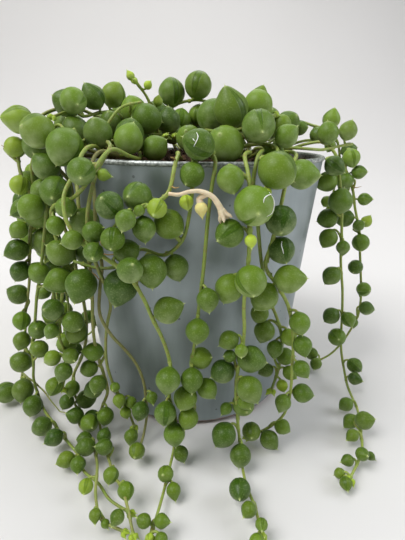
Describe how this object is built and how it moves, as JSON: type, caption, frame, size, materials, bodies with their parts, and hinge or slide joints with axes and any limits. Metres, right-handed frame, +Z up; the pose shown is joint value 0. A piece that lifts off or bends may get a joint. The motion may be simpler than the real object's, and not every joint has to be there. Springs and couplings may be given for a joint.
{
  "type": "potted string of pearls plant",
  "caption": "Trailing succulent with round bead-like leaves on thin stems, growing in a tapered sheet-metal pot and hanging over its rim down to the surface it stands on.",
  "frame": {"origin": "middle of the pot's underside, in the plane that the pot stands on", "axes": "+Z up along the pot's axis, -Y towards the front where most stems hang, +X to the right seen from the front"},
  "size_m": [0.1615, 0.1745, 0.128],
  "materials": {
    "zinc": "satin blue-grey coated sheet steel with a brighter worn rim",
    "soil": "matt dark brown bark and peat compost",
    "pearl_leaf": "satin waxy green succulent leaf and pale green stem",
    "dried_stalk": "matt pale tan dried flower stalk"
  },
  "bodies": {
    "root": {"pot": "zinc", "soil": "soil", "left_outer": "pearl_leaf", "left_diagonal": "pearl_leaf", "left_inner": "pearl_leaf", "front_long": "pearl_leaf", "front_arch": "pearl_leaf", "front_return": "pearl_leaf", "front_centre": "pearl_leaf", "right_front": "pearl_leaf", "right_second": "pearl_leaf", "right_short": "pearl_leaf", "far_right_long": "pearl_leaf", "far_right_back": "pearl_leaf", "right_stub": "pearl_leaf", "top_left": "pearl_leaf", "upright_left": "pearl_leaf", "young_shoot": "pearl_leaf", "top_back": "pearl_leaf", "top_centre": "pearl_leaf", "top_right": "pearl_leaf", "left_crown": "pearl_leaf", "woody_left": "pearl_leaf", "left_fourth": "pearl_leaf", "left_fifth": "pearl_leaf", "left_sixth": "pearl_leaf", "behind_left_1": "pearl_leaf", "behind_left_2": "pearl_leaf", "behind_left_3": "pearl_leaf", "side_left": "pearl_leaf", "back_1": "pearl_leaf", "back_2": "pearl_leaf", "back_3": "pearl_leaf", "back_4": "pearl_leaf", "back_5": "pearl_leaf", "back_6": "pearl_leaf", "back_7": "pearl_leaf", "back_8": "pearl_leaf", "back_9": "pearl_leaf", "back_10": "pearl_leaf", "back_11": "pearl_leaf", "back_12": "pearl_leaf", "side_right": "pearl_leaf", "crown_1": "pearl_leaf", "crown_2": "pearl_leaf", "crown_3": "pearl_leaf", "crown_4": "pearl_leaf", "crown_5": "pearl_leaf", "crown_6": "pearl_leaf", "crown_7": "pearl_leaf", "crown_8": "pearl_leaf", "crown_9": "pearl_leaf", "dried_flower_stalk": "dried_stalk"}
  },
  "joints": []
}
